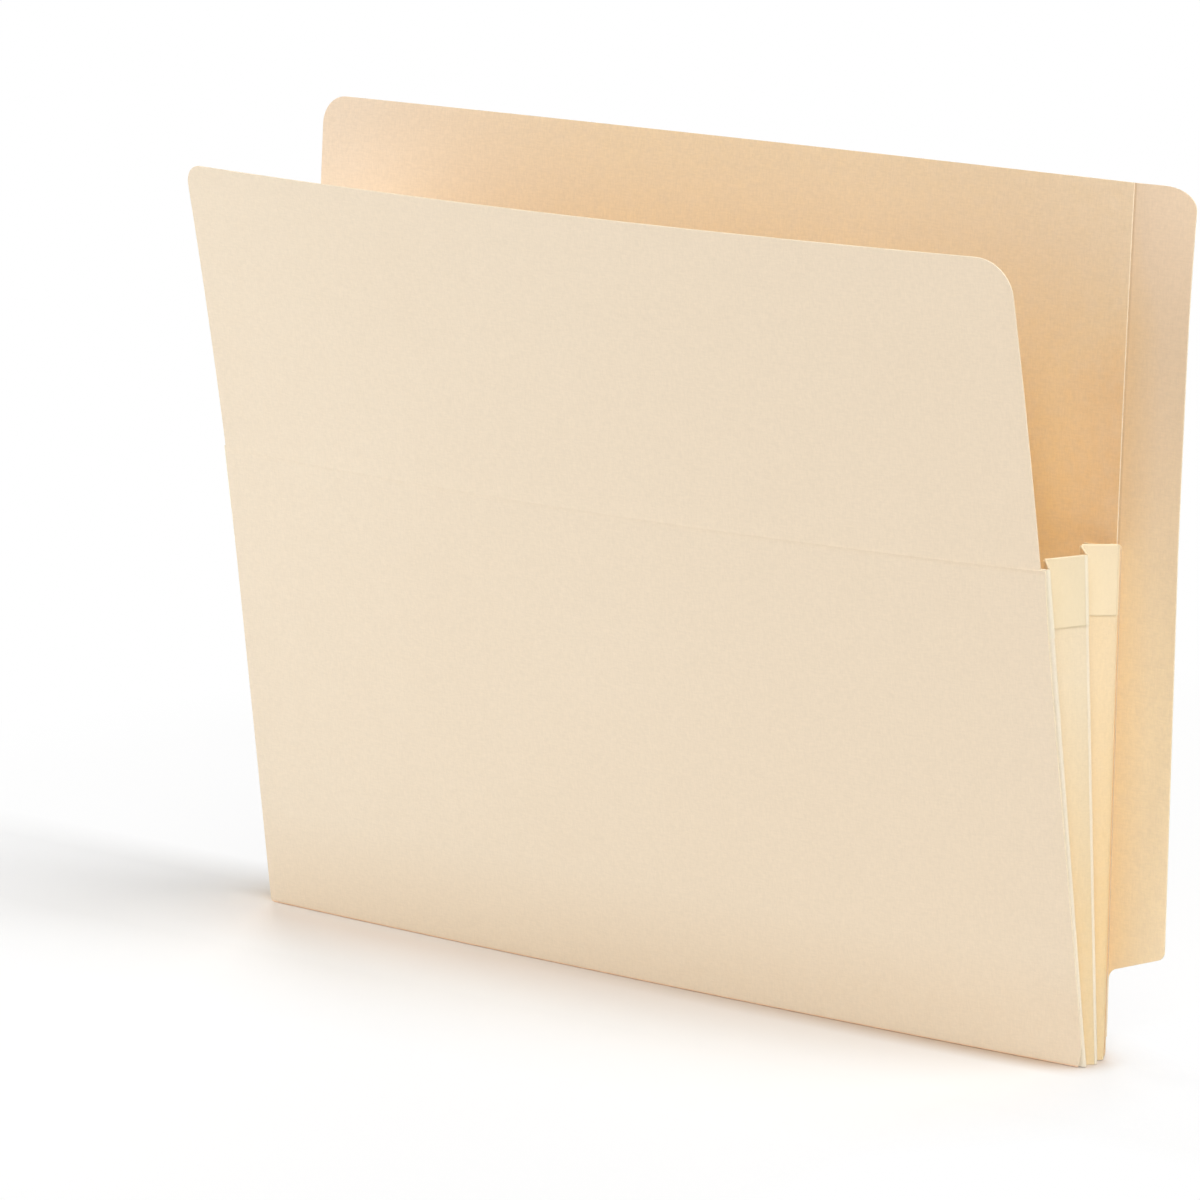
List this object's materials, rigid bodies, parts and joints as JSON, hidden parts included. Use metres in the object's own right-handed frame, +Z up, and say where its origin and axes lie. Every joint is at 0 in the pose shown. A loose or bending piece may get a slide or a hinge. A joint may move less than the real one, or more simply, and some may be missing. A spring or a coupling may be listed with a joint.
{
  "type": "expanding file pocket",
  "caption": "Manila end-tab file pocket standing open in a V, with folded side gussets, taped gusset tops and a scored front flap that turns down.",
  "frame": {"origin": "centre of the base panel's underside, midway between the two bottom scores", "axes": "+Z up, +X to the viewer's right towards the end tab, -Y towards the viewer"},
  "size_m": [0.3116, 0.061, 0.2344],
  "materials": {
    "manila_panel": "matte",
    "manila_tab": "matte",
    "manila_gusset": "matte",
    "gusset_tape": "matte"
  },
  "bodies": {
    "base": {"base_panel": "manila_panel"},
    "front": {"front_panel": "manila_panel", "right_front_flange": "manila_gusset", "left_front_flange": "manila_gusset"},
    "flap": {"front_flap": "manila_panel"},
    "back": {"back_panel": "manila_panel", "end_tab": "manila_tab", "right_back_flange": "manila_gusset", "left_back_flange": "manila_gusset"},
    "right_fold_1": {"right_leaf_1": "manila_gusset", "right_tape_1": "gusset_tape"},
    "right_fold_2": {"right_leaf_2": "manila_gusset", "right_tape_2": "gusset_tape"},
    "right_fold_3": {"right_leaf_3": "manila_gusset", "right_tape_3": "gusset_tape"},
    "right_fold_4": {"right_leaf_4": "manila_gusset", "right_tape_4": "gusset_tape"},
    "left_fold_1": {"left_leaf_1": "manila_gusset", "left_tape_1": "gusset_tape"},
    "left_fold_2": {"left_leaf_2": "manila_gusset", "left_tape_2": "gusset_tape"},
    "left_fold_3": {"left_leaf_3": "manila_gusset", "left_tape_3": "gusset_tape"},
    "left_fold_4": {"left_leaf_4": "manila_gusset", "left_tape_4": "gusset_tape"}
  },
  "joints": [
    {"name": "front_swing", "type": "hinge", "parent": "base", "child": "front", "pos_m": [0, -0.0048, 0.0002], "axis": [1, 0, 0], "range_deg": [-4.8, 1]},
    {"name": "back_swing", "type": "hinge", "parent": "base", "child": "back", "pos_m": [0, 0.0048, 0.0002], "axis": [-1, 0, 0], "range_deg": [-4.8, 1]},
    {"name": "flap_fold", "type": "hinge", "parent": "front", "child": "flap", "pos_m": [0, -0.02514, 0.13819], "axis": [1, 0, 0], "range_deg": [-2.6, 170]},
    {"name": "right_fold_1_turn", "type": "hinge", "parent": "front", "child": "right_fold_1", "pos_m": [0.1463, -0.00366, 0.0003], "axis": [0, 0.0837, -0.9965], "range_deg": [-41.3, 8.7]},
    {"name": "right_fold_2_turn", "type": "hinge", "parent": "base", "child": "right_fold_2", "pos_m": [0.1463, -0.00052, 0.0002], "axis": [0, 0, 1], "range_deg": [-41.3, 8.7]},
    {"name": "right_fold_3_turn", "type": "hinge", "parent": "base", "child": "right_fold_3", "pos_m": [0.1463, 0.00052, 0.0002], "axis": [0, 0, -1], "range_deg": [-41.3, 8.7]},
    {"name": "right_fold_4_turn", "type": "hinge", "parent": "back", "child": "right_fold_4", "pos_m": [0.1463, 0.00366, 0.0003], "axis": [0, 0.0837, 0.9965], "range_deg": [-41.3, 8.7]},
    {"name": "left_fold_1_turn", "type": "hinge", "parent": "front", "child": "left_fold_1", "pos_m": [-0.1463, -0.00366, 0.0003], "axis": [0, -0.0837, 0.9965], "range_deg": [-41.3, 8.7]},
    {"name": "left_fold_2_turn", "type": "hinge", "parent": "base", "child": "left_fold_2", "pos_m": [-0.1463, -0.00052, 0.0002], "axis": [0, 0, -1], "range_deg": [-41.3, 8.7]},
    {"name": "left_fold_3_turn", "type": "hinge", "parent": "base", "child": "left_fold_3", "pos_m": [-0.1463, 0.00052, 0.0002], "axis": [0, 0, 1], "range_deg": [-41.3, 8.7]},
    {"name": "left_fold_4_turn", "type": "hinge", "parent": "back", "child": "left_fold_4", "pos_m": [-0.1463, 0.00366, 0.0003], "axis": [0, -0.0837, -0.9965], "range_deg": [-41.3, 8.7]}
  ],
  "couplings": [
    {"joint": "right_fold_1_turn", "follows": "front_swing", "ratio": 8.6},
    {"joint": "right_fold_2_turn", "follows": "front_swing", "ratio": 8.6},
    {"joint": "left_fold_1_turn", "follows": "front_swing", "ratio": 8.6},
    {"joint": "left_fold_2_turn", "follows": "front_swing", "ratio": 8.6},
    {"joint": "right_fold_3_turn", "follows": "back_swing", "ratio": 8.6},
    {"joint": "right_fold_4_turn", "follows": "back_swing", "ratio": 8.6},
    {"joint": "left_fold_3_turn", "follows": "back_swing", "ratio": 8.6},
    {"joint": "left_fold_4_turn", "follows": "back_swing", "ratio": 8.6}
  ]
}
